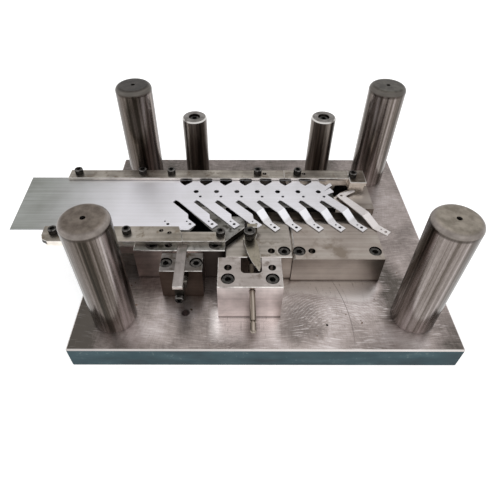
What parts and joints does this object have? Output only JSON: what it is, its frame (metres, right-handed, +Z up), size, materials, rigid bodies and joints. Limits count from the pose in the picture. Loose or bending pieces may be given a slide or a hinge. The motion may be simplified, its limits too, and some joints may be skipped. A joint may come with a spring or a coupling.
{
  "type": "progressive stamping die lower half",
  "caption": "Lower half of a progressive stamping die: shoe, guide posts, die blocks and stock rails with a feeding carrier strip of slanted formed arms, finger stop and sprung lever.",
  "frame": {"origin": "centre of the die shoe's underside", "axes": "+X the way the strip feeds, +Y towards the rear rail, +Z up along the guide posts"},
  "size_m": [0.4905, 0.337, 0.169],
  "materials": {
    "shoe_steel": "ground",
    "post_steel": "polished",
    "block_steel": "ground",
    "rail_steel": "ground",
    "lever_block_steel": "ground",
    "screw_black": "black oxide",
    "dowel_steel": "ground",
    "bar_steel": "ground",
    "lug_steel": "ground, oil stained",
    "spring_steel": "drawn wire",
    "lever_steel": "ground",
    "rod_steel": "ground",
    "strip_sheet": "bright rolled"
  },
  "bodies": {
    "base": {"die_shoe": "shoe_steel", "guide_post_front_left": "post_steel", "guide_post_front_right": "post_steel", "guide_post_rear_left": "post_steel", "guide_post_rear_right": "post_steel", "limit_post_left": "post_steel", "limit_post_right": "post_steel", "limit_post_screws": "screw_black", "die_plate_left": "block_steel", "piercing_plate": "block_steel", "pilot_plate": "block_steel", "die_block_middle": "block_steel", "die_block_right": "block_steel", "form_insert": "block_steel", "insert_screws": "screw_black", "rail_spacer": "rail_steel", "shelf_bracket": "block_steel", "stock_shelf": "rail_steel", "rear_rail_left": "rail_steel", "rear_rail_right": "rail_steel", "rail_end_plate": "rail_steel", "front_rail_long": "rail_steel", "front_rail_short": "rail_steel", "rail_screws": "screw_black", "rail_dowels": "dowel_steel", "block_screws": "screw_black", "block_dowels": "dowel_steel", "finger_block": "block_steel", "finger_block_screws": "screw_black", "finger_guide_screw": "screw_black", "finger_spigot": "rod_steel", "finger_spring": "spring_steel", "lever_block": "lever_block_steel", "lever_block_screws": "screw_black", "lever_block_dowels": "dowel_steel", "lever_pivot_screw": "screw_black", "lever_hold_spring": "spring_steel", "plunger_spring": "spring_steel"},
    "strip": {"carrier_strip": "strip_sheet"},
    "part": {"finished_part": "strip_sheet"},
    "finger": {"finger_bar": "bar_steel", "finger_lug": "lug_steel"},
    "lever": {"lever": "lever_steel"},
    "plunger": {"plunger_rod": "rod_steel"}
  },
  "joints": [
    {"name": "strip_feed", "type": "slide", "parent": "base", "child": "strip", "axis": [1, 0, 0], "range_m": [0, 0.0252]},
    {"name": "part_eject", "type": "slide", "parent": "base", "child": "part", "axis": [1, 0, 0], "range_m": [0, 0.0252]},
    {"name": "finger_push", "type": "slide", "parent": "base", "child": "finger", "axis": [0, 1, 0], "range_m": [0, 0.004], "stiffness_N_per_m": 1500, "springref_m": -0.002, "deforming": ["finger_spring"]},
    {"name": "lever_swing", "type": "hinge", "parent": "base", "child": "lever", "pos_m": [-0.0148, -0.0503, 0.07], "axis": [0, 0, -1], "range_deg": [0, 3], "stiffness_Nm_per_rad": 16, "springref_deg": -1.15},
    {"name": "plunger_push", "type": "slide", "parent": "base", "child": "plunger", "axis": [0, -1, 0], "range_m": [0, 0.00479], "deforming": ["plunger_spring"]}
  ],
  "couplings": [
    {"joint": "part_eject", "follows": "strip_feed", "ratio": 1},
    {"joint": "plunger_push", "follows": "lever_swing", "m_per_rad": 0.0915}
  ]
}
